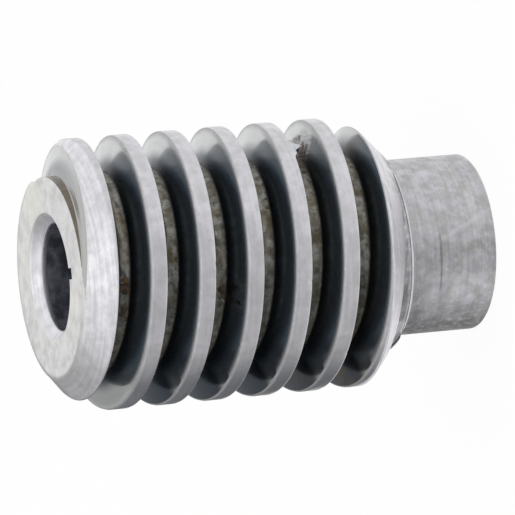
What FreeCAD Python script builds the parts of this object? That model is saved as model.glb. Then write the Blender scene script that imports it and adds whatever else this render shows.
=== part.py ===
# A cylindrical worm in steel, turned in one piece: a threaded body, a plain hub
# at one end and a bore right through. One helical groove, single start and left
# handed, leaves one thread. It stands on the end of its hub, with +Z along the
# axis and the origin at the middle of the hub's end face.
import FreeCAD, Part
import os
import Sketcher
from FreeCAD import Vector

# Driving dimensions, in millimetres and degrees.
DRIVING = [
    ("tooth_module", 3.0, "axial pitch divided by pi"),
    ("pressure_angle", 14.5, "slope of the thread's flanks, in a plane through the axis"),
    ("pitch_diameter", 45.0, "where the thread and the groove are equally wide"),
    ("tip_clearance", 0.75, "depth of the groove past the mating gear's tips"),
    ("body_length", 66.0, "threaded body, front face to the hub's shoulder"),
    ("first_groove", 3.7, "front face to the middle of the groove, on the +Y side"),
    ("face_step", 0.4, "height of the chamfers' inner rims over the groove's bottom"),
    ("front_taper", 5.25, "axial length of the front chamfer"),
    ("back_taper", 6.25, "axial length of the chamfer towards the hub"),
    ("collar_diameter", 36.0, "plain collar between that chamfer and the hub"),
    ("collar_length", 1.0, "plain collar"),
    ("hub_diameter", 33.2, "plain hub"),
    ("hub_length", 17.0, "plain hub"),
    ("edge_break", 0.4, "small chamfers on the collar and on the hub's end"),
    ("bore_diameter", 20.0, "through bore"),
    ("front_mouth", 2.0, "chamfer of the bore at the front face"),
    ("hub_mouth", 1.0, "chamfer of the bore at the hub's end"),
    ("slot_width", 2.2, "small slot in the bore's front mouth, on the -Y side"),
    ("slot_reach", 3.6, "bore wall to the slot's bottom, measured outwards"),
    ("slot_depth", 2.5, "front face to the slot's floor"),
]

# Values that the sheet works out from the driving dimensions.
DERIVED = [
    ("tip_radius", "pitch_diameter / 2 + tooth_module", "top of the thread"),
    ("floor_radius", "pitch_diameter / 2 - tooth_module - tip_clearance", "bottom of the groove"),
    ("rim_radius", "floor_radius + face_step", "inner rims of the two chamfers"),
    ("cutter_radius", "tip_radius + tooth_module / 3", "outer edge of the groove's cutting profile"),
    ("lead", "3.14159265358979 * tooth_module", "advance in one turn, equal to the pitch"),
    ("flank_slope", "tan(pressure_angle * 1deg)", "half the groove's growth in width with radius"),
    ("floor_width", "lead / 2 - (pitch_diameter - 2 * floor_radius) * flank_slope",
     "width of the groove at its bottom"),
    ("cutter_width", "lead / 2 + (2 * cutter_radius - pitch_diameter) * flank_slope",
     "width of the cutting profile at its outer edge"),
    ("total_length", "hub_length + body_length", "end to end"),
    ("turns_below", "ceil((body_length - first_groove) / lead) + 1",
     "turns from the first groove until the cutter has left the body"),
]


def fill_sheet(doc):
    """Put the driving and the derived dimensions in a sheet, one alias a row."""
    sheet = doc.addObject("Spreadsheet::Sheet", "Dims")
    rows = [(name, str(value), note) for name, value, note in DRIVING]
    rows += [(name, "=" + formula, note) for name, formula, note in DERIVED]
    for row, (name, content, note) in enumerate(rows, start=1):
        sheet.set(f"A{row}", name)
        sheet.set(f"B{row}", content)
        sheet.setAlias(f"B{row}", name)
        sheet.set(f"C{row}", note)
    doc.recompute()
    return sheet


def new_sketch(body, name, role):
    """An empty sketch on the origin plane of the body that has this role."""
    plane = next(item for item in body.Origin.OriginFeatures if item.Role == role)
    sketch = body.newObject("Sketcher::SketchObject", name)
    sketch.AttachmentSupport = [(plane, "")]
    sketch.MapMode = "FlatFace"
    return sketch


def draw_outline(sketch, corners):
    """A closed outline through corners given as (across, along) expressions.

    Each corner is tied to the sketch's axes by its two expressions, and one
    that is "0" puts the corner on the axis itself.
    """
    places = [[sketch.evalExpression(text) for text in corner] for corner in corners]
    points = [Vector(across, along, 0) for across, along in places]
    following = points[1:] + points[:1]
    for start, end in zip(points, following):
        sketch.addGeometry(Part.LineSegment(start, end), False)
    for index in range(len(points)):
        next_line = (index + 1) % len(points)
        sketch.addConstraint(Sketcher.Constraint("Coincident", index, 2, next_line, 1))
    for index, (corner, place) in enumerate(zip(corners, places)):
        for kind, axis, text, value in (("DistanceX", -2, corner[0], place[0]),
                                        ("DistanceY", -1, corner[1], place[1])):
            if text == "0":
                sketch.addConstraint(Sketcher.Constraint("PointOnObject", index, 1, axis))
                continue
            tie = sketch.addConstraint(Sketcher.Constraint(kind, -1, 1, index, 1, value))
            sketch.setExpression(f"Constraints[{tie}]", text)


def turn_blank(body):
    """The outside of the worm before its groove is cut, as one revolved outline."""
    outline = new_sketch(body, "BlankOutline", "YZ_Plane")
    collar_top = "Dims.hub_length + Dims.collar_length"
    draw_outline(outline, [
        ("0", "0"),
        ("Dims.hub_diameter / 2 - Dims.edge_break", "0"),
        ("Dims.hub_diameter / 2", "Dims.edge_break"),
        ("Dims.hub_diameter / 2", "Dims.hub_length"),
        ("Dims.collar_diameter / 2 - Dims.edge_break", "Dims.hub_length"),
        ("Dims.collar_diameter / 2", "Dims.hub_length + Dims.edge_break"),
        ("Dims.collar_diameter / 2", collar_top),
        ("Dims.rim_radius", collar_top),
        ("Dims.tip_radius", collar_top + " + Dims.back_taper"),
        ("Dims.tip_radius", "Dims.total_length - Dims.front_taper"),
        ("Dims.rim_radius", "Dims.total_length"),
        ("0", "Dims.total_length"),
    ])
    blank = body.newObject("PartDesign::Revolution", "Blank")
    blank.Profile = outline
    blank.ReferenceAxis = (outline, ["V_Axis"])
    blank.Angle = 360


def cut_groove(body):
    """The helical groove between the turns of the thread, left handed.

    Its section is a trapezium, level with the flanks at every radius. The cut
    starts below the body, beside the hub, and ends past the front face, so it
    runs out at both chamfers.
    """
    section = new_sketch(body, "GrooveSection", "YZ_Plane")
    section.setExpression(
        "AttachmentOffset.Base.y",
        "Dims.total_length - Dims.first_groove - Dims.turns_below * Dims.lead")
    radii = [section.evalExpression(f"Dims.{name}") for name in ("floor_radius", "cutter_radius")]
    halves = [section.evalExpression(f"Dims.{name} / 2") for name in ("floor_width", "cutter_width")]
    corners = [Vector(radii[0], -halves[0], 0), Vector(radii[1], -halves[1], 0),
               Vector(radii[1], halves[1], 0), Vector(radii[0], halves[0], 0)]
    for start, end in zip(corners, corners[1:] + corners[:1]):
        section.addGeometry(Part.LineSegment(start, end), False)
    for index in range(4):
        section.addConstraint(Sketcher.Constraint("Coincident", index, 2, (index + 1) % 4, 1))
    outer_edge, floor_edge, axis_along = 1, 3, -1
    for edge, reach, width in ((floor_edge, "floor_radius", "floor_width"),
                               (outer_edge, "cutter_radius", "cutter_width")):
        section.addConstraint(Sketcher.Constraint("Symmetric", edge, 1, edge, 2, axis_along))
        tie = section.addConstraint(Sketcher.Constraint(
            "DistanceX", -1, 1, edge, 1, section.evalExpression(f"Dims.{reach}")))
        section.setExpression(f"Constraints[{tie}]", f"Dims.{reach}")
        tie = section.addConstraint(Sketcher.Constraint(
            "Distance", edge, section.evalExpression(f"Dims.{width}")))
        section.setExpression(f"Constraints[{tie}]", f"Dims.{width}")
    groove = body.newObject("PartDesign::SubtractiveHelix", "Groove")
    groove.Profile = section
    groove.ReferenceAxis = (section, ["V_Axis"])
    groove.Mode = "pitch-height-angle"
    groove.LeftHanded = True
    groove.setExpression("Pitch", "Dims.lead")
    groove.setExpression("Height", "(Dims.turns_below + 1) * Dims.lead")


def cut_bore(body):
    """The through bore with a chamfer at each mouth, as one revolved cut."""
    outline = new_sketch(body, "BoreOutline", "YZ_Plane")
    draw_outline(outline, [
        ("0", "0"),
        ("Dims.bore_diameter / 2 + Dims.hub_mouth", "0"),
        ("Dims.bore_diameter / 2", "Dims.hub_mouth"),
        ("Dims.bore_diameter / 2", "Dims.total_length - Dims.front_mouth"),
        ("Dims.bore_diameter / 2 + Dims.front_mouth", "Dims.total_length"),
        ("0", "Dims.total_length"),
    ])
    bore = body.newObject("PartDesign::Groove", "Bore")
    bore.Profile = outline
    bore.ReferenceAxis = (outline, ["V_Axis"])
    bore.Angle = 360


def cut_slot(body):
    """The small slot across the bore's front mouth, cut outwards from the axis."""
    outline = new_sketch(body, "SlotOutline", "XZ_Plane")
    half = outline.evalExpression("Dims.slot_width / 2")
    top = outline.evalExpression("Dims.total_length")
    floor = outline.evalExpression("Dims.total_length - Dims.slot_depth")
    corners = [Vector(-half, floor, 0), Vector(half, floor, 0),
               Vector(half, top, 0), Vector(-half, top, 0)]
    for start, end in zip(corners, corners[1:] + corners[:1]):
        outline.addGeometry(Part.LineSegment(start, end), False)
    for index in range(4):
        outline.addConstraint(Sketcher.Constraint("Coincident", index, 2, (index + 1) % 4, 1))
    floor_edge, top_edge, axis_up = 0, 2, -2
    for edge, height in ((floor_edge, "Dims.total_length - Dims.slot_depth"),
                         (top_edge, "Dims.total_length")):
        outline.addConstraint(Sketcher.Constraint("Symmetric", edge, 1, edge, 2, axis_up))
        tie = outline.addConstraint(Sketcher.Constraint(
            "DistanceY", -1, 1, edge, 1, outline.evalExpression(height)))
        outline.setExpression(f"Constraints[{tie}]", height)
        tie = outline.addConstraint(Sketcher.Constraint("Distance", edge, 2 * half))
        outline.setExpression(f"Constraints[{tie}]", "Dims.slot_width")
    slot = body.newObject("PartDesign::Pocket", "Slot")
    slot.Profile = outline
    slot.Reversed = True
    slot.setExpression("Length", "Dims.bore_diameter / 2 + Dims.slot_reach")


doc = FreeCAD.newDocument("worm")
fill_sheet(doc)
worm = doc.addObject("PartDesign::Body", "Worm")
worm.Label = "worm"
worm.Placement = FreeCAD.Placement(Vector(0, 0, 0), FreeCAD.Rotation())
volumes = []
for step in (turn_blank, cut_groove, cut_bore, cut_slot):
    step(worm)
    doc.recompute()
    volumes.append(worm.Shape.Volume)
    print(f"{step.__name__}: {worm.Shape.Volume:.1f} mm3")

for item in doc.Objects:
    if "Invalid" in item.State or "Error" in item.State:
        raise RuntimeError(f"{item.Name} failed: {item.State}")
if worm.Shape.isNull() or not worm.Shape.isValid() or len(worm.Shape.Solids) != 1:
    raise RuntimeError("the worm isn't one valid solid")
if sorted(volumes, reverse=True) != volumes or len(set(volumes)) != len(volumes):
    raise RuntimeError("one of the cuts took nothing away")

os.makedirs("parts", exist_ok=True)
worm.Shape.exportStep(f"parts/{worm.Label}.step")
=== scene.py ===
import bpy
import numpy as np
from mathutils import Matrix, Vector


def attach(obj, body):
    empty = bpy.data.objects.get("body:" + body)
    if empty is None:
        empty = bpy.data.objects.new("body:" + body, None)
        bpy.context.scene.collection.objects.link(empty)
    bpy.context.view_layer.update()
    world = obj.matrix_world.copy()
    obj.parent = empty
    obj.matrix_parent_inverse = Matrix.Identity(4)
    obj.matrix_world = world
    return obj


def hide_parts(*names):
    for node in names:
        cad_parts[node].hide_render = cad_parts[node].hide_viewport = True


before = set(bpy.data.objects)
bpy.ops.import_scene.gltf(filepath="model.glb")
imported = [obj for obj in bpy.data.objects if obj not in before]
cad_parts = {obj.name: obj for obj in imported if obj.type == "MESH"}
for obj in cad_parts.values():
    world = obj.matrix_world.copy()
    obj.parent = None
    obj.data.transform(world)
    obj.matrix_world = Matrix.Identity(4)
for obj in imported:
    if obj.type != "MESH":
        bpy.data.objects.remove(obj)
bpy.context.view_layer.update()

# The worm's thread.
# One left-handed tooth winds seven times round a turned steel blank. The groove beside it has
# straight flanks and a flat floor, and it runs out through the tapers at both ends of the blank.
MM = 0.001
LENGTH, SHOULDER_Z = 83.0, 18.0
TIP_R, FLOOR_R, RIM_R = 25.5, 18.75, 19.15
FRONT_TAPER, BACK_TAPER = 5.25, 6.25
LEAD = 9.4248
FIRST_GROOVE_Z = 84.012
FOOT, TIP_EDGE = LEAD / 2 - 3.326, LEAD / 2 - 1.580
FLANK_RISE = (TIP_R - FLOOR_R) / (TIP_EDGE - FOOT)
FRONT_RISE = (TIP_R - RIM_R) / FRONT_TAPER
BACK_RISE = (TIP_R - RIM_R) / BACK_TAPER
FRONT_CORNER_Z, BACK_CORNER_Z = LENGTH - FRONT_TAPER, SHOULDER_Z + BACK_TAPER
FRONT_BREAK, BACK_BREAK = 0.35, 0.15
STEPS = 384


def waves(seed, angle, height, reach):
    """Smooth unevenness: a sum of eight cosines, each of a whole number of waves round the axis
    plus a rise along it, divided so that it stays between -1 and 1."""
    rng = np.random.default_rng(seed)
    total = 0
    for _ in range(8):
        around = rng.integers(1, 9)
        along = rng.uniform(-1, 1) * 2 * np.pi / reach
        total = total + np.cos(around * angle + along * height + rng.uniform(0, 2 * np.pi))
    return total / 8


def blank_radius(z):
    """Radius of the uncut blank: the least of the tip radius and the two taper lines, each a
    straight line that starts at its inner rim."""
    return np.minimum(TIP_R, np.minimum(RIM_R + (z - SHOULDER_Z) * BACK_RISE,
                                        RIM_R + (LENGTH - z) * FRONT_RISE))


def thread_radius(s):
    """Radius of the thread at the distance s along the axis from a groove's middle: the floor,
    then the flank's straight line, then the tip."""
    near = np.minimum(s, LEAD - s)
    return np.clip(FLOOR_R + (near - FOOT) * FLANK_RISE, FLOOR_R, TIP_R)


def flank_edge(middle, front_sign):
    """Distance from a groove's middle to its flank's outer edge: the first of the points where
    the flank's line meets the tip and the two taper lines. The sign is -1 for the flank below the
    middle, which meets the front taper while both rise, and 1 for the one above it."""
    base = RIM_R - FLOOR_R + FOOT * FLANK_RISE
    front = (base + (LENGTH - middle) * FRONT_RISE) / (FLANK_RISE + front_sign * FRONT_RISE)
    back = (base + (middle - SHOULDER_Z) * BACK_RISE) / (FLANK_RISE - front_sign * BACK_RISE)
    return np.clip(np.minimum(front, back), FOOT, TIP_EDGE)


def flank_rows(edge, corner, fillet):
    """Rows from the floor to the crest for one flank, as distances from the groove's middle and
    radii: a small fillet at the foot, the straight flank, and the start of its rounded corner. A
    rounding is a parabola, whose middle is a quarter of each end and half of the sharp corner."""
    edge_r = FLOOR_R + (edge - FOOT) * FLANK_RISE
    slant = np.hypot(1, FLANK_RISE)
    run = (edge - FOOT) * slant
    up = np.minimum(fillet, 0.35 * run)
    down = np.minimum(corner, 0.35 * run)
    foot_s, foot_r = FOOT + up / slant, FLOOR_R + up * FLANK_RISE / slant
    top_s, top_r = edge - down / slant, edge_r - down * FLANK_RISE / slant
    inner = FOOT - fillet
    floor_r = FLOOR_R + 0 * edge
    rows = [(0 * edge, floor_r), (inner * 0.55, floor_r), (inner, floor_r),
            (0.25 * inner + 0.5 * FOOT + 0.25 * foot_s, 0.75 * FLOOR_R + 0.25 * foot_r), (foot_s, foot_r)]
    for share in (1 / 3, 2 / 3):
        rows.append((foot_s + (top_s - foot_s) * share, foot_r + (top_r - foot_r) * share))
    rows.append((top_s, top_r))
    return rows, edge_r


def corner_row(edge, edge_r, top, crest_s, crest_r):
    """The middle row of the rounded corner between a flank and the crest."""
    return 0.25 * top[0] + 0.5 * edge + 0.25 * crest_s, 0.25 * top[1] + 0.5 * edge_r + 0.25 * crest_r


turns = (FIRST_GROOVE_Z + LEAD - SHOULDER_Z) / LEAD
columns = int(turns * STEPS) + 2
column = np.arange(columns + STEPS)
middle = FIRST_GROOVE_Z + LEAD - LEAD * column / STEPS
turned = 2 * np.pi * column / STEPS
angle = turned - np.pi / 2

# The corners are rounder, and the fillets larger, where the groove runs out at the front.
runout = np.clip((middle - 82.6) / 2.0, 0, 1)
corner_below = 0.40 + 0.10 * waves(3, turned / 3, middle, 31.0) + 0.45 * runout
corner_above = 0.28 + 0.08 * waves(4, turned / 3, middle, 27.0)
fillet = 0.38 + 0.08 * waves(5, turned / 2, middle, 23.0) + 0.5 * runout
edge_below = flank_edge(middle, -1)
edge_above = flank_edge(middle - LEAD, 1)
rows_below, edge_below_r = flank_rows(edge_below, corner_below, fillet)
rows_above, edge_above_r = flank_rows(edge_above, corner_above, fillet)
width = LEAD - edge_below - edge_above
crest_start = edge_below + np.minimum(corner_below, 0.2 * width)
crest_end = LEAD - edge_above - np.minimum(corner_above, 0.2 * width)
turn_line = np.where(middle > LENGTH / 2, middle - FRONT_CORNER_Z, middle - BACK_CORNER_Z)
turn_line = np.clip(turn_line, crest_start + 0.12 * width, crest_end - 0.12 * width)
crest = [crest_start, (crest_start + turn_line) / 2, turn_line, (turn_line + crest_end) / 2, crest_end]

# Rows down one turn: half of the floor, the flank below it, the crest, the flank above the next
# groove and the other half of the floor. A cell has the number of the row above it.
rows = rows_below + [corner_row(edge_below, edge_below_r, rows_below[-1], crest_start,
                                blank_radius(middle - crest_start))]
rows += [(s, blank_radius(middle - s)) for s in crest]
far_corner = corner_row(edge_above, edge_above_r, rows_above[-1], LEAD - crest_end,
                        blank_radius(middle - crest_end))
rows += [(LEAD - s, r) for s, r in [far_corner] + rows_above[:0:-1]]
FLANK_BELOW, FLANK_ABOVE = slice(3, 8), slice(15, 20)
FLANK_CELLS_ABOVE, CREST_CELLS = slice(14, 19), slice(8, 14)
CORNERS, BESIDE_CORNERS = [8, 14], [7, 9, 13, 15]
FEET, BESIDE_FEET, FLOOR_ROWS = [3, 19], [2, 4, 18, 20], [0, 1, 2, 20, 21]
across = np.stack([row[0] + 0 * middle for row in rows], axis=1)
radius = np.stack([row[1] + 0 * middle for row in rows], axis=1)
height = middle[:, None] - across

# A blow has pushed a lip of metal out over the groove from the lower edge of the fifth crest.
BLOW_ANGLE, BLOW_TURN, LIP_REACH = 53.0, 5, 1.9
past_blow = np.degrees(turned) - 360 * BLOW_TURN - BLOW_ANGLE
lip = sum(share * np.exp(-((past_blow - aside) / spread) ** 2)
          for aside, spread, share in ((0.0, 1.9, 1.0), (-4.2, 1.5, 0.35), (4.0, 1.4, 0.3)))
for row, share in ((11, 0.1), (12, 0.35), (13, 0.8), (14, 1.0), (15, 0.85), (16, 0.3)):
    height[:, row] = height[:, row] - LIP_REACH * share * lip
radius[:, 12:15] = radius[:, 12:15] + 0.15 * lip[:, None]
radius[:, 15] = radius[:, 15] - 0.4 * lip

# The tool left the floor of the groove slightly uneven, and it holds a thin crust of old grease.
floor_share = np.clip(1 - (radius - FLOOR_R) / 0.6, 0, 1)
radius = radius + floor_share * 0.05 * waves(6, angle[:, None] * 3, height, 5.0)

# Knocks on the crest's edges: each is a small hollow with a smooth fall-off, given by its angle
# from the near side in degrees, its height, its half width and its depth in millimetres. The last
# five are the ones that show.
rng = np.random.default_rng(11)
knock_angle = rng.uniform(-180, 180, 46)
knock_turn = rng.integers(0, 7, 46)
knock_side = rng.choice([-1.58, 1.58], 46)
knocks = [(a, FIRST_GROOVE_Z - LEAD / 2 - LEAD * (a / 360 + t) + s + rng.uniform(-0.1, 0.1),
           rng.uniform(0.35, 0.9), rng.uniform(0.05, 0.22))
          for a, t, s in zip(knock_angle, knock_turn, knock_side)]
knocks += [(57.0, 38.5, 0.45, 0.4), (51.5, 38.6, 0.4, 0.35), (-7.0, 72.7, 0.6, 0.18),
           (21.0, 52.9, 0.5, 0.16), (-33.0, 35.2, 0.7, 0.2)]


def hollow(angle, height, radius, angle_at, height_at, reach):
    """Share of a knock's depth at a point: a bell curve of the distance over the surface."""
    apart = np.degrees(angle) + 90 - angle_at
    sideways = np.radians((apart + 180) % 360 - 180) * radius
    return np.exp(-(sideways ** 2 + (height - height_at) ** 2) / (0.6 * reach) ** 2)


wide = np.broadcast_to(angle[:, None], height.shape)
sunk = sum(depth * hollow(wide, height, radius, a, z, reach) for a, z, reach, depth in knocks)
radius = radius - sunk * (radius > FLOOR_R + 1)

# Past the front face and past the shoulder the rows close up on the rims.
rim = np.arange(STEPS)
rim_angle = 2 * np.pi * rim / STEPS - np.pi / 2


def rim_radius(z, below):
    """Radius of the rim at each angle: the thread's own radius at that height, no more than the
    taper's rim."""
    drop = (FIRST_GROOVE_Z - LEAD * rim / STEPS - z) % LEAD
    return np.minimum(thread_radius(drop), RIM_R + below)


front_rim = rim_radius(LENGTH - FRONT_BREAK, FRONT_BREAK * FRONT_RISE)
back_rim = rim_radius(SHOULDER_Z + BACK_BREAK, BACK_BREAK * BACK_RISE)
index = np.arange(height.size).reshape(height.shape)
FRONT0, BACK0 = height.size, height.size + STEPS
rim_place = (column % STEPS)[:, None]
index = np.where(height > LENGTH - FRONT_BREAK, FRONT0 + rim_place, index)
index = np.where(height < SHOULDER_Z + BACK_BREAK, BACK0 + rim_place, index)
index[columns:] = np.where(index[columns:] >= FRONT0, index[columns:], BACK0 + rim_place[columns:])
grid = np.concatenate([index[:columns], index[STEPS:STEPS + columns, :1]], axis=1)


def triangles(grid):
    """Two triangles for each cell of a grid of vertex numbers, without those that have closed up,
    and the row of each. Going down a column and then to the next one turns outwards."""
    a, b, c, d = grid[:-1, :-1], grid[1:, :-1], grid[1:, 1:], grid[:-1, 1:]
    faces = np.stack([np.stack([a, d, c], -1), np.stack([a, c, b], -1)], 2).reshape(-1, 3)
    kept = (faces[:, 0] != faces[:, 1]) & (faces[:, 1] != faces[:, 2]) & (faces[:, 0] != faces[:, 2])
    cell = np.repeat(np.arange(a.size), 2)
    return faces[kept], cell[kept] % a.shape[1]


def swing_of(angle):
    """Degrees from the near side, -180 to 180: the angle plus the quarter turn to the near side."""
    return (np.degrees(angle) + 90 + 180) % 360 - 180


thread_faces, thread_row = triangles(grid)
FINISH = {"flank": 0, "crest": 1, "floor": 2, "taper": 3, "face": 4, "hub": 5, "bore": 6}
row_finish = np.full(len(rows), FINISH["floor"])
row_finish[FLANK_BELOW] = row_finish[FLANK_CELLS_ABOVE] = FINISH["flank"]
row_finish[CREST_CELLS] = FINISH["crest"]
thread_finish = row_finish[thread_row]
known_height = np.concatenate([height.ravel(), np.full(STEPS, LENGTH), np.full(STEPS, SHOULDER_Z)])
face_height = known_height[thread_faces].mean(axis=1)
on_taper = (face_height > FRONT_CORNER_Z) | (face_height < BACK_CORNER_Z)
thread_finish[(thread_finish == FINISH["crest"]) & on_taper] = FINISH["taper"]
thread_finish[(thread_finish == FINISH["floor"]) & (face_height < SHOULDER_Z + 1.7)] = FINISH["hub"]
thread_finish[(thread_finish == FINISH["hub"]) & (face_height < SHOULDER_Z + 0.6)] = FINISH["taper"]

# Where the groove opens on the shoulder, on the side that the worm lay on, its end is bare steel.
BARE_END, BARE_FROM, BARE_TO = SHOULDER_Z + 2.6, -150, -48
known_angle = np.concatenate([wide.ravel(), rim_angle, rim_angle])
face_swing = swing_of(known_angle[thread_faces[:, 0]])
bare_face = (face_height < BARE_END) & (face_swing < BARE_TO) & (face_swing > BARE_FROM)
thread_finish[bare_face] = FINISH["taper"]

# The hub, the bore and the front face.
# They are turned on the same blank: a narrow collar under the thread, a plain hub that the worm
# stands on, a reamed bore with a chamfer at each end, and the flat front face.
HUB_R, COLLAR_R, HUB_TOP, BORE_R = 16.6, 18.0, 17.0, 10.0
outline = [
    (FLOOR_R, SHOULDER_Z, "hub"), (18.35, SHOULDER_Z, "hub"), (18.05, 17.95, "hub"),
    (COLLAR_R, 17.85, "crest"), (COLLAR_R, 17.62, "crest"), (17.96, 17.42, "crest"),
    (17.86, 17.24, "crest"), (17.7, 17.1, "hub"), (17.5, HUB_TOP, "hub"), (17.1, HUB_TOP, "hub"),
    (16.8, 16.97, "hub"), (16.66, 16.85, "hub"), (HUB_R, 16.6, "hub"),
]
outline += [(HUB_R, z, "hub") for z in np.linspace(16.0, 0.8, 24)]
outline += [(16.58, 0.5, "hub"), (16.45, 0.25, "hub"), (16.25, 0.07, "hub"), (16.0, 0.0, "hub"),
            (14.5, 0.0, "face"), (12.8, 0.0, "face"), (11.15, 0.0, "face"), (10.95, 0.06, "bore"),
            (10.1, 0.9, "bore"), (BORE_R, 1.1, "bore")]
outline += [(BORE_R, z, "bore") for z in np.linspace(4.0, 78.0, 20)]
outline += [(BORE_R, 80.2, "bore"), (BORE_R, 81.1, "taper"), (10.06, 81.28, "taper"),
            (10.2, 81.45, "taper"), (10.5, 81.7, "taper"), (11.2, 82.3, "taper"), (11.86, 82.87, "taper"),
            (12.0, 82.97, "face")]
outline += [(r, LENGTH, "face") for r in (12.14, 13.2, 14.6, 16.0, 17.3, 18.2)]
outline_r = np.array([point[0] for point in outline])[:, None] + 0 * rim_angle
outline_z = np.array([point[1] for point in outline])[:, None] + 0 * rim_angle
outline_finish = [FINISH[point[2]] for point in outline]

# Dents in the hub, given as the knocks are. The first three lie on its dark scratch.
hub_knocks = [(-12.8, 11.3, 0.5, 0.1), (-20.0, 11.2, 0.5, 0.12), (-3.0, 11.1, 0.5, 0.08),
              (38.0, 13.0, 0.7, 0.05), (60.0, 4.0, 0.9, 0.06), (-40.0, 6.5, 0.8, 0.06),
              (130.0, 9.0, 0.9, 0.08), (-140.0, 3.0, 0.8, 0.07)]
plain_hub = (outline_z < 16.3) & (outline_r > 16.59)
outline_wide = np.broadcast_to(rim_angle, outline_r.shape)
dents = sum(depth * hollow(outline_wide, outline_z, HUB_R, a, z, reach)
            for a, z, reach, depth in hub_knocks)
outline_r = outline_r - plain_hub * dents

# The outline's first and last rings meet the thread's rims, with a broken edge between.
outline_r = np.vstack([back_rim - BACK_BREAK, outline_r, front_rim - FRONT_BREAK])
outline_z = np.vstack([np.full(STEPS, SHOULDER_Z), outline_z, np.full(STEPS, LENGTH)])
RING0 = BACK0 + STEPS
ring_index = RING0 + np.arange(outline_r.size).reshape(outline_r.shape)
ring_index = np.vstack([BACK0 + rim, ring_index, FRONT0 + rim])
ring_index = np.concatenate([ring_index, ring_index[:, :1]], axis=1)
ring_faces, ring_row = triangles(ring_index.T)
ring_finish = np.array([FINISH["hub"], *outline_finish, FINISH["face"], FINISH["face"]])[ring_row]

points_r = np.concatenate([radius.ravel(), front_rim, back_rim, outline_r.ravel()])
points_z = np.concatenate([height.ravel(), np.full(STEPS, LENGTH - FRONT_BREAK),
                           np.full(STEPS, SHOULDER_Z + BACK_BREAK), outline_z.ravel()])
points_a = np.concatenate([wide.ravel(), rim_angle, rim_angle,
                           np.broadcast_to(rim_angle, outline_r.shape).ravel()])
points = np.stack([points_r * np.cos(points_a), points_r * np.sin(points_a), points_z], axis=1) * MM

# Values that the finishes read at each point: how near it is to a worn corner, how deep it lies in
# the groove, and how much rust, dirt, painted shade and front-turn film it has. A spot of rust or dirt
# is given by its angle from the near side, its height, its half width and its strength.
worn = np.zeros(height.shape)
worn[:, CORNERS] = 1.0
worn[:, BESIDE_CORNERS] = 0.55
worn_all = np.concatenate([worn.ravel(), np.full(2 * STEPS, 0.3), np.zeros(outline_r.size)])
depth_all = np.clip((TIP_R - points_r) / (TIP_R - FLOOR_R), 0, 1)
rust_spots = [
    (-7.5, 74.7, 1.3, 1.0), (-11.0, 74.4, 0.9, 0.8), (-23.0, 74.9, 1.2, 0.9), (-28.0, 74.6, 1.0, 0.6),
    (-15.0, 55.6, 1.0, 1.0), (-20.0, 55.4, 1.2, 0.9), (75.0, 33.6, 0.9, 1.7), (69.0, 34.0, 1.0, 1.8),
    (62.0, 34.4, 1.0, 1.4), (55.0, 34.8, 0.9, 0.8), (-62.0, 22.8, 1.8, 0.8), (8.0, 65.4, 0.9, 0.5),
    (54.0, 44.1, 0.5, 0.6), (48.0, 44.2, 0.5, 0.75), (42.0, 44.35, 0.5, 0.75), (36.0, 44.5, 0.5, 0.75),
    (30.0, 44.7, 0.5, 0.7), (22.0, 44.9, 0.5, 0.65), (4.0, 64.3, 0.6, 0.65), (-1.5, 64.5, 0.6, 0.7),
    (150.0, 50.0, 2.0, 0.8), (-160.0, 31.0, 1.6, 0.7), (110.0, 66.0, 1.4, 0.7), (-118.0, 62.0, 1.8, 0.8),
]
SPOT_SPREAD = 1.6
rust_all = sum(share * hollow(points_a, points_z, np.maximum(points_r, 1), a, z, reach * SPOT_SPREAD)
               for a, z, reach, share in rust_spots)
rust_all = rust_all * ((depth_all > 0.5) & (points_r > 18.5) | (points_z < SHOULDER_Z))


def fade(value, start, end):
    """0 at the start and before it, 1 at the end and past it, and a straight line between."""
    return np.clip((value - start) / (end - start), 0, 1)


def tent(value, reach):
    """1 where the value is 0, falling in straight lines to 0 at the reach on both sides."""
    return np.clip(1 - np.abs(value) / reach, 0, 1)


# Painted shade, in black, where the groove runs out at the shoulder, at the foot of the taper and
# on the collar. Painted shade also greys the hub on its lower side, near the shoulder and in a band on its
# near side.
swing = swing_of(points_a)
last_foot_z = FIRST_GROOVE_Z - 7 * LEAD - LEAD * swing / 360 + FOOT
runout_shade = tent(points_z - last_foot_z + 0.55, 0.75) * fade(swing, 12, -6)
runout_shade = runout_shade * (points_z < SHOULDER_Z + 5) * (np.abs(points_r - FLOOR_R) < 0.5)
runout_shade = runout_shade * np.maximum(fade(swing, -90, -50), 0.25)
collar_shade = (points_z > 17.8) & (points_z < SHOULDER_Z + 0.7) & (points_r > 17.9) & (points_r < 20.0)
collar_shade = collar_shade * np.maximum(fade(swing, -70, -40), 0.1)
taper_foot_shade = tent(points_z - SHOULDER_Z - 1.05, 0.5) * (np.abs(points_r - 19.6) < 0.9)
on_hub = (points_z < 16.9) & (points_r > 16.3)
near_half = fade(swing, -150, -100)
lower_side_shade = fade(swing, -28, -68) * near_half * on_hub
shoulder_shade = fade(swing, 5, -65) * near_half * fade(points_z, 10, 15) * on_hub
near_side_shade = np.exp(-((swing + 9) / 20) ** 2) * on_hub
# Painted shade and black dirt, stored together.
soot_and_shade_all = np.maximum.reduce([0.6 * runout_shade, 0.5 * collar_shade, 0.4 * taper_foot_shade, 0.68 * lower_side_shade,
                              0.6 * shoulder_shade, 0.30 * near_side_shade])
bare_side = (points_z < BARE_END) & (points_z > 17.3) & (swing < BARE_TO) & (swing > BARE_FROM)
soot_and_shade_all = np.where(bare_side, 0.2 * soot_and_shade_all, soot_and_shade_all)
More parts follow.
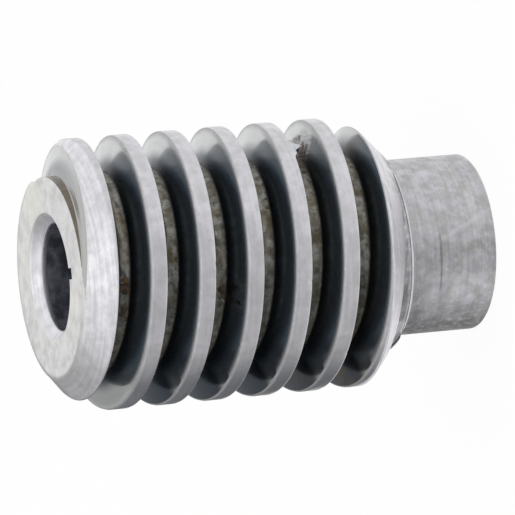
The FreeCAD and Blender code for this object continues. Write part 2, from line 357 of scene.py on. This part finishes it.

# Painted shade in the groove: at the feet of its flanks, on the corner below the crest and on the floor's
# shaded side. Dirt lies in spots on the flanks.
groove_dirt_and_shade = np.zeros(height.shape)
groove_dirt_and_shade[:, FEET] = 1.2
groove_dirt_and_shade[:, BESIDE_FEET] = 0.5
groove_dirt_and_shade[:, CORNERS[0]] = 0.28
groove_dirt_and_shade = groove_dirt_and_shade * fade(height, SHOULDER_Z + 1.5, SHOULDER_Z + 4.5)
groove_dirt_and_shade = groove_dirt_and_shade * np.maximum(fade(height, 80.8, 77.8), 0.15)
for a, z, reach, share in ((-13.0, 54.2, 1.1, 1.1), (-19.5, 53.8, 1.0, 1.1), (-8.0, 73.6, 0.8, 0.9)):
    spots = share * hollow(wide, height, radius, a, z, reach * SPOT_SPREAD) * (radius < 23.5)
    groove_dirt_and_shade = np.maximum(groove_dirt_and_shade, spots)
shaded_side = 0.5 * np.exp(-((swing[:height.size].reshape(height.shape) + 28) / 24) ** 2)
groove_dirt_and_shade[:, FLOOR_ROWS] = np.maximum(groove_dirt_and_shade[:, FLOOR_ROWS], shaded_side[:, FLOOR_ROWS])
soot_and_shade_all[:height.size] = np.maximum(soot_and_shade_all[:height.size], groove_dirt_and_shade.ravel())
film_all = fade(points_z, 79.5, 81.5)

# Painted shade darkens the flanks as deeply as their feet on the -X side, for the dark reflection there, but
# not on the first turn, and it darkens the flanks that face the hub all round.
dark_side_shade = fade(swing, -55, -73) * fade(swing, -142, -112) * fade(points_z, 72.5, 68.5)
dark_side_shade = dark_side_shade[:height.size].reshape(height.shape)
painted_shade_depth = np.zeros(height.shape)
painted_shade_depth[:, FLANK_BELOW] = dark_side_shade[:, FLANK_BELOW]
painted_shade_depth[:, FLANK_ABOVE] = np.maximum(dark_side_shade[:, FLANK_ABOVE], 0.68)
# The painted shade is carried by raising the stored depth.
depth_all[:height.size] = np.maximum(depth_all[:height.size], painted_shade_depth.ravel())

used, faces = np.unique(np.concatenate([thread_faces, ring_faces]), return_inverse=True)
faces = faces.reshape(-1, 3)
finish_of_face = np.concatenate([thread_finish, ring_finish])
mesh = bpy.data.meshes.new("worm_gear")
mesh.vertices.add(len(used))
mesh.vertices.foreach_set("co", points[used].astype(np.float32).ravel())
mesh.loops.add(faces.size)
mesh.loops.foreach_set("vertex_index", faces.astype(np.int32).ravel())
mesh.polygons.add(len(faces))
mesh.polygons.foreach_set("loop_start", np.arange(0, faces.size, 3, dtype=np.int32))
mesh.polygons.foreach_set("material_index", finish_of_face.astype(np.int32))
mesh.update(calc_edges=True)
for name, values in (("worn", worn_all), ("depth", depth_all), ("rust", rust_all), ("soot_and_shade", soot_and_shade_all),
                     ("film", film_all)):
    layer = mesh.attributes.new(name, "FLOAT", "POINT")
    layer.data.foreach_set("value", np.asarray(values, dtype=np.float32)[used])
mesh.shade_smooth()
worm = bpy.data.objects.new("worm_gear", mesh)
bpy.context.scene.collection.objects.link(worm)

# The steel's finishes.
# The worm is plain carbon steel, turned, ground on the crest and cut with a form tool in the
# groove, then handled and stored for years without paint or plating.
BARE_STEEL, SCRATCH_DARK = (0.80, 0.80, 0.82), (0.13, 0.13, 0.14)
# Painted colours: a blue tint for the flanks' reflections, and the dark and the brown of painted shade deep
# in the groove.
BLUE_REFLECTION_TINT, GROOVE_SHADE_DARK, GROOVE_SHADE_BROWN = (0.42, 0.515, 0.60), (0.017, 0.034, 0.056), (0.062, 0.050, 0.030)
# The black of dirt and of painted shade.
BLACK_DIRT_AND_SHADE = (0.022, 0.021, 0.017)
DARK_RUST, LIGHT_RUST = (0.028, 0.016, 0.009), (0.20, 0.100, 0.036)


def group(name, inputs, outputs):
    """An empty shader node group with number inputs, given with their values, and number outputs."""
    tree = bpy.data.node_groups.new(name, "ShaderNodeTree")
    for label, value in inputs.items():
        made = tree.interface.new_socket(label, in_out="INPUT", socket_type="NodeSocketFloat")
        made.default_value = value
    for label in outputs:
        tree.interface.new_socket(label, in_out="OUTPUT", socket_type="NodeSocketFloat")
    return tree, tree.nodes.new("NodeGroupInput").outputs, tree.nodes.new("NodeGroupOutput").inputs


def node(tree, kind, settings=(), **links):
    """A node with settings, whose named or numbered inputs take a value or another node's output."""
    made = tree.nodes.new(kind)
    for label, value in dict(settings).items():
        setattr(made, label, value)
    for label, value in links.items():
        numbered = label.startswith("in") and label[2:].isdigit()
        socket = made.inputs[int(label[2:]) if numbered else label.replace("_", " ")]
        if isinstance(value, bpy.types.NodeSocket):
            tree.links.new(value, socket)
        else:
            socket.default_value = value
    return made


def maths(tree, operation, first, second=0.0, clamp=False):
    """The output of one Math node."""
    return node(tree, "ShaderNodeMath", {"operation": operation, "use_clamp": clamp},
                in0=first, in1=second).outputs[0]


def times(tree, first, *others):
    """The product of two or more values."""
    for other in others:
        first = maths(tree, "MULTIPLY", first, other)
    return first


def vector_maths(tree, operation, first, second=(0.0, 0.0, 0.0)):
    """The output of one Vector Math node: a number for a length, else a vector."""
    made = node(tree, "ShaderNodeVectorMath", {"operation": operation}, in0=first, in1=second)
    return made.outputs["Value" if operation == "LENGTH" else "Vector"]


def ramp(tree, value, low, high, start=0.0, end=1.0):
    """The value moved smoothly from the range low to high onto start to end, and held there."""
    return node(tree, "ShaderNodeMapRange", {"interpolation_type": "SMOOTHSTEP"},
                in0=value, in1=low, in2=high, in3=start, in4=end).outputs[0]


def noise(tree, vector, scale, detail=3.0, roughness=0.55):
    """The factor of a Noise Texture on a vector."""
    return node(tree, "ShaderNodeTexNoise", {}, Vector=vector, Scale=scale, Detail=detail,
                Roughness=roughness).outputs[0]


def object_place(tree):
    """The place on the piece, in metres."""
    return node(tree, "ShaderNodeTexCoord").outputs["Object"]


def axes(tree, vector):
    """A vector's three numbers."""
    return tuple(node(tree, "ShaderNodeSeparateXYZ", in0=vector).outputs)


def stored(tree, name):
    """A value that is stored on the mesh."""
    return node(tree, "ShaderNodeAttribute", {"attribute_name": name}).outputs["Fac"]


# Tool lines: rings round the axis, as a turning tool or a grinding wheel leaves them. The noise
# reads the radius and the height, and only slowly the place along X, so it forms lines.
tree, given, results = group("tool_lines", {"Fine": 3200.0, "Broad": 700.0, "Break": 60.0},
                             ("Fine Lines", "Broad Lines"))
lines_tree = tree
x, y, z = axes(tree, object_place(tree))
flat = node(tree, "ShaderNodeCombineXYZ", in0=x, in1=y, in2=0.0).outputs[0]
from_axis = vector_maths(tree, "LENGTH", flat)
for label, detail in (("Fine", 2.0), ("Broad", 3.0)):
    stretched = node(tree, "ShaderNodeCombineXYZ", in0=times(tree, from_axis, given[label]),
                     in1=times(tree, z, given[label]), in2=times(tree, x, given["Break"])).outputs[0]
    tree.links.new(noise(tree, stretched, 1.0, detail), results[label + " Lines"])

# Handling: cloudy patches, small specks and stains that dull the steel.
tree, given, results = group("handling_marks", {"Size": 240.0, "Speck Size": 1300.0, "Stain Size": 120.0},
                             ("Clouds", "Specks", "Stains"))
cloud_tree = tree
spot = object_place(tree)
tree.links.new(noise(tree, spot, given["Size"], 4.0, 0.6), results["Clouds"])
speck = noise(tree, spot, given["Speck Size"], 2.0, 0.5)
tree.links.new(ramp(tree, speck, 0.62, 0.74), results["Specks"])
elsewhere = vector_maths(tree, "ADD", spot, (0.3, 0.1, 0.2))
stain = noise(tree, elsewhere, given["Stain Size"], 5.0, 0.6)
tree.links.new(ramp(tree, stain, 0.42, 0.62), results["Stains"])

# Dirt with its painted shade, and rust: both start from the values stored on the mesh and break up at their
# borders.
tree, given, results = group("dirt_shade_and_rust", {}, ("Rust", "Soot And Shade"))
dirt_shade_tree = tree
spot = object_place(tree)
rough_border = noise(tree, spot, 900.0, 4.0, 0.65)
sooty_and_shaded = maths(tree, "MULTIPLY", stored(tree, "soot_and_shade"), ramp(tree, rough_border, 0.2, 0.55, 0.3, 1.0), True)
tree.links.new(sooty_and_shaded, results["Soot And Shade"])
flecks = times(tree, noise(tree, spot, 3200.0, 3.0, 0.6), 0.45)
flecks = maths(tree, "ADD", times(tree, rough_border, 0.55), flecks)
rust_border = times(tree, stored(tree, "rust"), ramp(tree, flecks, 0.36, 0.58, 0.15, 1.3))
tree.links.new(ramp(tree, rust_border, 0.25, 0.7), results["Rust"])

# The bruise: the lip of metal's painted shadow, as dark smears on the flank under it, and ripples in the bump
# there. Each smear is given by its angle from the near side, radius, height, width and how much longer it is
# along Y.
lip_shadows = [(89.0, 21.9, 32.36, 0.75, 3.4), (83.2, 22.15, 32.47, 0.6, 2.5), (89.0, 20.9, 32.79, 0.6, 2.5),
          (81.7, 20.0, 33.07, 0.6, 3.5), (70.2, 21.35, 33.01, 0.5, 2.2)]
RIPPLE_AT, RIPPLES = (76.0, 21.0, 32.9), 6500.0


def point_at(turned_by, out_by, up_by):
    """The point at an angle from the near side in degrees, a radius and a height in millimetres."""
    turn = np.radians(turned_by)
    return out_by * np.sin(turn) * MM, -out_by * np.cos(turn) * MM, up_by * MM


tree, given, results = group("lip_shadow_and_ripples", {}, ("Dark", "Ripple"))
lip_shadow_tree = tree
spot = object_place(tree)
stir = node(tree, "ShaderNodeTexNoise", {}, Vector=spot, Scale=1500.0, Detail=3.0).outputs[1]
stir = vector_maths(tree, "SUBTRACT", stir, (0.5, 0.5, 0.5))
bent = vector_maths(tree, "ADD", spot, vector_maths(tree, "MULTIPLY", stir, (2.6 * MM, 2.6 * MM, 2.6 * MM)))
dark = 0.0
for turned_by, out_by, up_by, size, stretch in lip_shadows:
    apart = vector_maths(tree, "SUBTRACT", bent, point_at(turned_by, out_by, up_by))
    apart = vector_maths(tree, "MULTIPLY", apart, (1.0, 1.0 / stretch, 0.5))
    lip_shadow = ramp(tree, vector_maths(tree, "LENGTH", apart), size * 1.1 * MM, size * 0.6 * MM)
    dark = maths(tree, "MAXIMUM", dark, lip_shadow)
tree.links.new(dark, results["Dark"])
apart = vector_maths(tree, "SUBTRACT", spot, point_at(*RIPPLE_AT))
swell = maths(tree, "SINE", times(tree, axes(tree, bent)[0], RIPPLES))
near_blow = ramp(tree, vector_maths(tree, "LENGTH", apart), 5.5 * MM, 2.0 * MM)
tree.links.new(times(tree, near_blow, swell), results["Ripple"])

# The hub's scratches: a dark one round it, and a light one that crosses it aslant. Both lie on the
# near side, wander a little and fade out at their ends.
DARK_LINE_Z, LIGHT_LINE_AT, LIGHT_LINE_X, LIGHT_LINE_Z = 11.2, 5.36, 0.900, 0.435
tree, given, results = group("scratches", {}, ("Dark", "Light"))
scratch_tree = tree
spot = object_place(tree)
x, y, z = axes(tree, spot)
wobble = times(tree, maths(tree, "SUBTRACT", noise(tree, spot, 500.0, 3.0), 0.5), 0.5 * MM)
near_side = ramp(tree, y, 0.0, -4 * MM)
off_line = maths(tree, "ADD", maths(tree, "SUBTRACT", z, DARK_LINE_Z * MM), wobble)
dark = times(tree, ramp(tree, maths(tree, "ABSOLUTE", off_line), 0.34 * MM, 0.08 * MM),
             ramp(tree, x, -10.5 * MM, -7.5 * MM), ramp(tree, x, 3.0 * MM, 0.5 * MM), near_side)
tree.links.new(dark, results["Dark"])
slant = maths(tree, "ADD", times(tree, x, LIGHT_LINE_X), times(tree, z, LIGHT_LINE_Z))
off_line = maths(tree, "ADD", maths(tree, "SUBTRACT", slant, LIGHT_LINE_AT * MM), wobble)
light = times(tree, ramp(tree, maths(tree, "ABSOLUTE", off_line), 0.7 * MM, 0.1 * MM),
              ramp(tree, z, 1.5 * MM, 3.5 * MM), ramp(tree, z, 14.0 * MM, 9.0 * MM), near_side)
tree.links.new(light, results["Light"])

# Worn corners: the steel is bare and smoother where corners rub.
tree, given, results = group("worn_corners", {"Amount": 1.0}, ("Bare",))
worn_tree = tree
patchy = ramp(tree, noise(tree, object_place(tree), 420.0, 4.0, 0.6), 0.35, 0.6, 0.35, 1.0)
rubbed_off = times(tree, ramp(tree, stored(tree, "worn"), 0.3, 1.0), patchy)
tree.links.new(maths(tree, "MULTIPLY", rubbed_off, given["Amount"], True), results["Bare"])


def steel(name, colour, dull, roughness, metallic=1.0, lines=0.3, clouds=0.6, specks=0.3, bare=0.0,
          broad=700.0, cloud_size=420.0, speck_size=1300.0, bump=0.008, groove_shade=0.0, film=0.0,
          film_colour=(0.0, 0.0, 0.0), stain=0.0, stain_colour=(0.0, 0.0, 0.0), stain_size=120.0,
          shadowed_and_rippled=False, rubbed=0.0, one_sided=False, scratched=False):
    """A steel finish: the colour moves towards the dull one in clouds and tool lines, then takes
    the stains, the bare corners, a painted blue tint and painted groove shade, the rust, the painted
    shadow under the lip and the dirt with its painted shade in turn. The tool lines also feed the bump."""
    material = bpy.data.materials.new(name)
    material.use_nodes = True
    tree = material.node_tree
    shader = tree.nodes["Principled BSDF"]

    def place(group_tree, **values):
        made = node(tree, "ShaderNodeGroup", {"node_tree": group_tree})
        for label, value in values.items():
            made.inputs[label.replace("_", " ")].default_value = value
        return made.outputs

    def blend(share, first, second):
        made = node(tree, "ShaderNodeMix", {"data_type": "RGBA"}, Factor=share)
        for slot, value in ((made.inputs[6], first), (made.inputs[7], second)):
            if isinstance(value, bpy.types.NodeSocket):
                tree.links.new(value, slot)
            else:
                slot.default_value = (*value, 1.0)
        return made.outputs[2]

    marks = place(lines_tree, Broad=broad)
    handling = place(cloud_tree, Size=cloud_size, Speck_Size=speck_size, Stain_Size=stain_size)
    dirt_and_shade = place(dirt_shade_tree)
    corners = place(worn_tree, Amount=bare)
    dulled = maths(tree, "ADD", times(tree, ramp(tree, marks["Broad Lines"], 0.3, 0.7), lines),
                   times(tree, ramp(tree, handling["Clouds"], 0.35, 0.68), clouds))
    dulled = maths(tree, "ADD", dulled, times(tree, handling["Specks"], specks), True)
    tone = blend(dulled, colour, dull)
    if stain > 0:
        stained = times(tree, handling["Stains"], stain)
        if one_sided:
            x, y, z = axes(tree, object_place(tree))
            stained = times(tree, stained, ramp(tree, x, -14 * MM, -5 * MM, 0.1, 1.0))
        tone = blend(stained, tone, stain_colour)
    if scratched:
        scratches = place(scratch_tree)
        tone = blend(times(tree, scratches["Dark"], 0.55), tone, SCRATCH_DARK)
        tone = blend(times(tree, scratches["Light"], 0.24), tone, BARE_STEEL)
    tone = blend(corners["Bare"], tone, BARE_STEEL)
    # Painted light on the flanks: a blue tint of their reflections on the near side, away from the first
    # turn, then painted shade that darkens them towards the floor of the groove, with brown stains in it
    # towards the hub.
    if groove_shade > 0:
        x, y, z = axes(tree, object_place(tree))
        deep, first_turn = stored(tree, "depth"), stored(tree, "film")
        blue_reflection_share = times(tree, ramp(tree, x, 22 * MM, 15 * MM), ramp(tree, x, -22 * MM, -17 * MM),
                      ramp(tree, first_turn, 0.0, 0.6, 0.75, 0.0), ramp(tree, deep, 0.08, 0.30))
        tone = blend(blue_reflection_share, tone, BLUE_REFLECTION_TINT)
        groove_shaded = times(tree, ramp(tree, deep, 0.42, 0.82), groove_shade, ramp(tree, first_turn, 0.0, 1.0, 1.0, 0.6))
        groove_shaded = maths(tree, "MULTIPLY", groove_shaded, ramp(tree, deep, 0.70, 0.95, 1.0, 1.13), True)
        browned = times(tree, handling["Stains"], ramp(tree, z, 50 * MM, 26 * MM))
        tone = blend(groove_shaded, tone, blend(browned, GROOVE_SHADE_DARK, GROOVE_SHADE_BROWN))
    if film > 0:
        tone = blend(times(tree, stored(tree, "film"), film), tone, film_colour)
    rusty = blend(ramp(tree, handling["Clouds"], 0.44, 0.64), DARK_RUST, LIGHT_RUST)
    tone = blend(dirt_and_shade["Rust"], tone, rusty)
    # Painted shadow of the lip on the flank.
    if shadowed_and_rippled:
        lip_marks = place(lip_shadow_tree)
        tone = blend(times(tree, lip_marks["Dark"], 0.9), tone, BLACK_DIRT_AND_SHADE)
    # Black dirt and painted shade.
    tone = blend(dirt_and_shade["Soot And Shade"], tone, BLACK_DIRT_AND_SHADE)
    tree.links.new(tone, shader.inputs["Base Color"])

    dirty_and_shaded = maths(tree, "MAXIMUM", dirt_and_shade["Soot And Shade"], dirt_and_shade["Rust"])
    rough = maths(tree, "ADD", times(tree, dulled, 0.12), roughness)
    rough = maths(tree, "SUBTRACT", rough, times(tree, corners["Bare"], 0.08))
    rough = maths(tree, "ADD", rough, times(tree, dirty_and_shaded, 0.3), True)
    if rubbed > 0:
        near_tip = ramp(tree, stored(tree, "depth"), 0.22, 0.02)
        rough = maths(tree, "ADD", rough, times(tree, near_tip, rubbed))
    tree.links.new(rough, shader.inputs["Roughness"])
    lost_shine = times(tree, dirty_and_shaded, 0.15 if groove_shade > 0 else 0.6)
    tree.links.new(maths(tree, "SUBTRACT", metallic, lost_shine, True), shader.inputs["Metallic"])

    relief = maths(tree, "ADD", times(tree, marks["Fine Lines"], 0.6), times(tree, marks["Broad Lines"], 0.4))
    relief = maths(tree, "SUBTRACT", relief, times(tree, handling["Specks"], 0.5))
    relief = maths(tree, "ADD", relief, times(tree, dirty_and_shaded, handling["Clouds"], 2.0))
    if shadowed_and_rippled:
        relief = maths(tree, "ADD", relief, times(tree, lip_marks["Ripple"], 26.0))
    bumped = node(tree, "ShaderNodeBump", {}, Strength=1.0, Distance=bump * MM, Height=relief)
    tree.links.new(bumped.outputs[0], shader.inputs["Normal"])
    return material


finishes = [
    steel("flank_steel", (0.56, 0.564, 0.566), (0.462, 0.468, 0.472), 0.12, metallic=0.95, clouds=0.35,
          bare=0.1, cloud_size=240.0, bump=0.0015, groove_shade=0.86, film=1.0, film_colour=(0.46, 0.46, 0.45),
          stain_size=330.0, shadowed_and_rippled=True, rubbed=0.38),
    steel("crest_steel", (0.675, 0.67, 0.705), (0.515, 0.512, 0.53), 0.26, lines=0.4, bare=0.1,
          broad=1500.0),
    steel("groove_floor_steel", (0.315, 0.308, 0.285), (0.076, 0.074, 0.062), 0.24, lines=0.4,
          clouds=0.78, specks=0.6, cloud_size=680.0, speck_size=2900.0, bump=0.03, film=0.85,
          film_colour=(0.185, 0.158, 0.125), stain=0.55, stain_colour=(0.120, 0.097, 0.054),
          stain_size=340.0),
    steel("taper_steel", (0.82, 0.815, 0.855), (0.60, 0.595, 0.62), 0.24, lines=0.6, bare=0.2,
          broad=1500.0, cloud_size=450.0, speck_size=1900.0),
    steel("face_steel", (0.70, 0.695, 0.705), (0.56, 0.555, 0.55), 0.26, lines=0.25, clouds=0.8,
          specks=0.15, bare=0.2, broad=900.0, stain=0.8, stain_colour=(0.72, 0.72, 0.665),
          stain_size=70.0, one_sided=True),
    steel("hub_steel", (0.615, 0.608, 0.652), (0.425, 0.421, 0.445), 0.32, lines=0.4, clouds=0.7,
          specks=0.4, broad=1500.0, speck_size=2000.0, bump=0.015, stain=0.4,
          stain_colour=(0.37, 0.365, 0.315), stain_size=420.0, scratched=True),
    steel("bore_steel", (0.20, 0.215, 0.25), (0.045, 0.05, 0.065), 0.50, metallic=0.4, clouds=0.9,
          cloud_size=260.0),
]
for finish in finishes:
    worm.data.materials.append(finish)

# The small slot in the front mouth of the bore.
# It is milled last, right through the bore's wall there, so a plain block is cut out of the worm.
SLOT_MIDDLE, SLOT_HALF, SLOT_OUT, SLOT_IN, SLOT_FLOOR = 0.4, 1.05, -13.6, -8.5, 80.5
block = np.array([(x, y, z) for x in (SLOT_MIDDLE - SLOT_HALF, SLOT_MIDDLE + SLOT_HALF)
                  for y in (SLOT_OUT, SLOT_IN) for z in (SLOT_FLOOR, LENGTH + 1.5)]) * MM
block_mesh = bpy.data.meshes.new("slot_cutter")
block_mesh.from_pydata(block.tolist(), [], [(0, 1, 3, 2), (4, 6, 7, 5), (0, 4, 5, 1), (2, 3, 7, 6),
                                            (0, 2, 6, 4), (1, 5, 7, 3)])
cutter = bpy.data.objects.new("slot_cutter", block_mesh)
bpy.context.scene.collection.objects.link(cutter)
cut = worm.modifiers.new("slot", "BOOLEAN")
cut.operation, cut.solver, cut.object = "DIFFERENCE", "EXACT", cutter
even = worm.modifiers.new("even_normals", "WEIGHTED_NORMAL")
even.weight, even.keep_sharp = 60, True
shaped = bpy.data.meshes.new_from_object(worm.evaluated_get(bpy.context.evaluated_depsgraph_get()))
worm.modifiers.clear()
worm.data = shaped
bpy.data.objects.remove(cutter)

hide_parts("worm")
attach(worm, "root")

# The floor.
# A plain pale studio floor, which shows as white round the worm and keeps its soft shadow. Its
# far side and its front show darker in the steel alone, as the edge of a white tent does.
FLOOR_REACH, FLOOR_SIDES = 3.0, 96
floor_mesh = bpy.data.meshes.new("floor")
round_angle = 2 * np.pi * np.arange(FLOOR_SIDES) / FLOOR_SIDES
edge_points = np.stack([np.cos(round_angle), np.sin(round_angle), 0 * round_angle], axis=1) * FLOOR_REACH
floor_mesh.from_pydata(edge_points.tolist(), [], [tuple(range(FLOOR_SIDES))])
floor = bpy.data.objects.new("floor", floor_mesh)
bpy.context.scene.collection.objects.link(floor)
floor_material = bpy.data.materials.new("studio_floor")
floor_material.use_nodes = True
tree = floor_material.node_tree
tree.nodes.clear()
path = node(tree, "ShaderNodeLightPath").outputs
mirrored = maths(tree, "MAXIMUM", path["Is Glossy Ray"], path["Is Transmission Ray"])
seen = maths(tree, "MAXIMUM", path["Is Camera Ray"], mirrored)
unseen = maths(tree, "SUBTRACT", 1.0, path["Is Camera Ray"])
x, y, z = axes(tree, object_place(tree))
behind = maths(tree, "DIVIDE", y, maths(tree, "MINIMUM", x, -0.02))
far_side = times(tree, ramp(tree, x, -0.050, -0.068), ramp(tree, behind, 0.50, -0.50, 0.10, 0.84),
                 ramp(tree, x, -0.10, -0.17, 1.0, 0.90), unseen)
ahead = times(tree, maths(tree, "ADD", x, y), -1.0)
in_front = times(tree, ramp(tree, ahead, 0.04, 0.14, 0.0, 0.3), unseen)
level = times(tree, maths(tree, "SUBTRACT", 1.0, far_side), maths(tree, "SUBTRACT", 1.0, in_front))
bluish = node(tree, "ShaderNodeCombineColor", {}, in0=ramp(tree, far_side, 0.2, 0.8, 1.0, 0.97), in1=1.0,
              in2=ramp(tree, far_side, 0.2, 0.8, 1.0, 1.04)).outputs[0]
glow = node(tree, "ShaderNodeEmission", {}, Color=bluish, Strength=level).outputs[0]
grey = times(tree, level, 0.95)
paint = node(tree, "ShaderNodeCombineColor", {}, in0=grey, in1=grey, in2=grey).outputs[0]
matt = node(tree, "ShaderNodeBsdfDiffuse", {}, Color=paint).outputs[0]
mixed = node(tree, "ShaderNodeMixShader", {}, in0=times(tree, seen, 0.95), in1=matt, in2=glow)
node(tree, "ShaderNodeOutputMaterial", {}, Surface=mixed.outputs[0])
floor.data.materials.append(floor_material)

# The light.
# A white tent with even light from all round, less of it from the -X side, and one large soft box
# above. The camera itself sees white on every side.
world = bpy.data.worlds.new("tent")
bpy.context.scene.world = world
world.use_nodes = True
tree = world.node_tree
x, y, z = axes(tree, node(tree, "ShaderNodeTexCoord").outputs["Generated"])
unseen = maths(tree, "SUBTRACT", 1.0, node(tree, "ShaderNodeLightPath").outputs["Is Camera Ray"])
shaded = times(tree, ramp(tree, x, -0.03, -0.16), ramp(tree, z, 0.5, 0.92, 0.54, 0.06),
               ramp(tree, y, -0.3, 0.3, 0.3, 1.0), unseen)
background = tree.nodes["Background"].inputs
tree.links.new(maths(tree, "SUBTRACT", 1.0, shaded), background["Strength"])
background["Color"].default_value = (1.0, 1.0, 1.0, 1.0)

lamp_data = bpy.data.lights.new("soft_box", "AREA")
lamp_data.shape, lamp_data.size, lamp_data.energy = "SQUARE", 0.40, 0.10
lamp = bpy.data.objects.new("soft_box", lamp_data)
lamp.location = (0.05, -0.12, 0.90)
towards_worm = Vector((0, 0, 42)) * MM - lamp.location
lamp.rotation_euler = towards_worm.to_track_quat("-Z", "Y").to_euler()
bpy.context.scene.collection.objects.link(lamp)

# The camera.
# It looks down at the near side of the worm and a little round to its front face. It is rolled, so
# that the worm's axis runs across the picture, with the front face on the left.
PHI, PSI = 0.3398, 0.0877
OFFSET = np.array([-1.5163, 0.1473, 50.0]) * TIP_R * MM
along = np.array([np.cos(PHI) * np.cos(PSI), -np.cos(PHI) * np.sin(PSI), np.sin(PHI)])
near = np.array([0.0, 0.0, -1.0]) + along[2] * along
near = near / np.linalg.norm(near)
up = np.cross(near, along)
up = up if up[1] < 0 else -up
picture_axes = np.array([up, -near, -along])
camera_data = bpy.data.cameras.new("camera")
camera_data.sensor_width, camera_data.lens = 36.0, 480.0
camera_data.clip_start, camera_data.clip_end = 0.05, 10.0
camera = bpy.data.objects.new("camera", camera_data)
turn_to = picture_axes @ np.diag([1.0, -1.0, -1.0])
location = np.array([0.0, 0.0, LENGTH * MM]) - picture_axes @ OFFSET
camera.matrix_world = Matrix([[*turn_to[row], location[row]] for row in range(3)] + [[0, 0, 0, 1]])
bpy.context.scene.collection.objects.link(camera)
bpy.context.scene.camera = camera

bpy.context.scene.view_settings.view_transform = "Standard"
